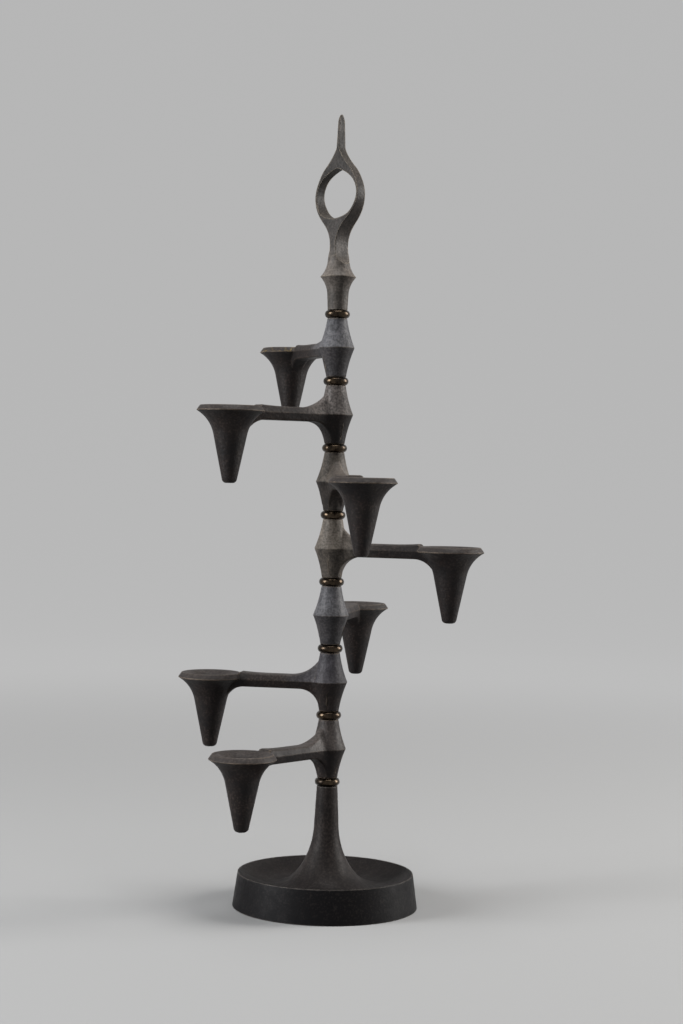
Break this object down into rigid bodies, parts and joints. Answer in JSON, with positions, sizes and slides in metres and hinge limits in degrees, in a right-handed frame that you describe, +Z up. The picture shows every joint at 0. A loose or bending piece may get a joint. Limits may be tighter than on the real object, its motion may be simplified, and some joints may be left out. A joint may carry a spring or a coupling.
{
  "type": "candle stand",
  "caption": "Cast-iron candle tree: socket arms that swivel on a central rod between brass beads, with a dished base and a loop-and-spike finial.",
  "frame": {"origin": "on the tie rod's axis, in the plane that the base stands on", "axes": "+Z up along the tie rod; the picture looks along +Y with +X to its right"},
  "size_m": [0.2537, 0.2546, 0.6634],
  "materials": {
    "iron": "sand-cast, blackened, worn brown on its edges",
    "brass": "dark with age, polished by handling",
    "steel": "plain turned"
  },
  "bodies": {
    "stand": {"base": "iron", "tie_rod": "steel", "base_washer": "steel", "base_nut": "steel", "finial": "iron"},
    "candle_arm_1": {"candle_arm_1": "iron"},
    "candle_arm_2": {"candle_arm_2": "iron"},
    "candle_arm_3": {"candle_arm_3": "iron"},
    "candle_arm_4": {"candle_arm_4": "iron"},
    "candle_arm_5": {"candle_arm_5": "iron"},
    "candle_arm_6": {"candle_arm_6": "iron"},
    "candle_arm_7": {"candle_arm_7": "iron"},
    "bead_ring_1": {"bead_ring_1": "brass"},
    "bead_ring_2": {"bead_ring_2": "brass"},
    "bead_ring_3": {"bead_ring_3": "brass"},
    "bead_ring_4": {"bead_ring_4": "brass"},
    "bead_ring_5": {"bead_ring_5": "brass"},
    "bead_ring_6": {"bead_ring_6": "brass"},
    "bead_ring_7": {"bead_ring_7": "brass"},
    "bead_ring_8": {"bead_ring_8": "brass"}
  },
  "joints": [
    {"name": "arm_1_swivel", "type": "hinge", "parent": "stand", "child": "candle_arm_1", "pos_m": [0, 0, 0.1329], "axis": [0, 0, 1], "range_deg": [-38, 282]},
    {"name": "arm_2_swivel", "type": "hinge", "parent": "stand", "child": "candle_arm_2", "pos_m": [0, 0, 0.1889], "axis": [0, 0, 1], "range_deg": [-73, 38]},
    {"name": "arm_3_swivel", "type": "hinge", "parent": "stand", "child": "candle_arm_3", "pos_m": [0, 0, 0.2449], "axis": [0, 0, 1], "range_deg": [-74, 73]},
    {"name": "arm_4_swivel", "type": "hinge", "parent": "stand", "child": "candle_arm_4", "pos_m": [0, 0, 0.3009], "axis": [0, 0, 1], "range_deg": [-40, 74]},
    {"name": "arm_5_swivel", "type": "hinge", "parent": "stand", "child": "candle_arm_5", "pos_m": [0, 0, 0.3569], "axis": [0, 0, 1], "range_deg": [-49, 40]},
    {"name": "arm_6_swivel", "type": "hinge", "parent": "stand", "child": "candle_arm_6", "pos_m": [0, 0, 0.4129], "axis": [0, 0, 1], "range_deg": [-81, 49]},
    {"name": "arm_7_swivel", "type": "hinge", "parent": "stand", "child": "candle_arm_7", "pos_m": [0, 0, 0.4689], "axis": [0, 0, 1], "range_deg": [-239, 81]},
    {"name": "ring_1_spin", "type": "hinge", "parent": "stand", "child": "bead_ring_1", "pos_m": [0, 0, 0.1049], "axis": [0, 0, 1], "continuous": true},
    {"name": "ring_2_spin", "type": "hinge", "parent": "stand", "child": "bead_ring_2", "pos_m": [0, 0, 0.1609], "axis": [0, 0, 1], "continuous": true},
    {"name": "ring_3_spin", "type": "hinge", "parent": "stand", "child": "bead_ring_3", "pos_m": [0, 0, 0.2169], "axis": [0, 0, 1], "continuous": true},
    {"name": "ring_4_spin", "type": "hinge", "parent": "stand", "child": "bead_ring_4", "pos_m": [0, 0, 0.2729], "axis": [0, 0, 1], "continuous": true},
    {"name": "ring_5_spin", "type": "hinge", "parent": "stand", "child": "bead_ring_5", "pos_m": [0, 0, 0.3289], "axis": [0, 0, 1], "continuous": true},
    {"name": "ring_6_spin", "type": "hinge", "parent": "stand", "child": "bead_ring_6", "pos_m": [0, 0, 0.3849], "axis": [0, 0, 1], "continuous": true},
    {"name": "ring_7_spin", "type": "hinge", "parent": "stand", "child": "bead_ring_7", "pos_m": [0, 0, 0.4409], "axis": [0, 0, 1], "continuous": true},
    {"name": "ring_8_spin", "type": "hinge", "parent": "stand", "child": "bead_ring_8", "pos_m": [0, 0, 0.4969], "axis": [0, 0, 1], "continuous": true}
  ]
}
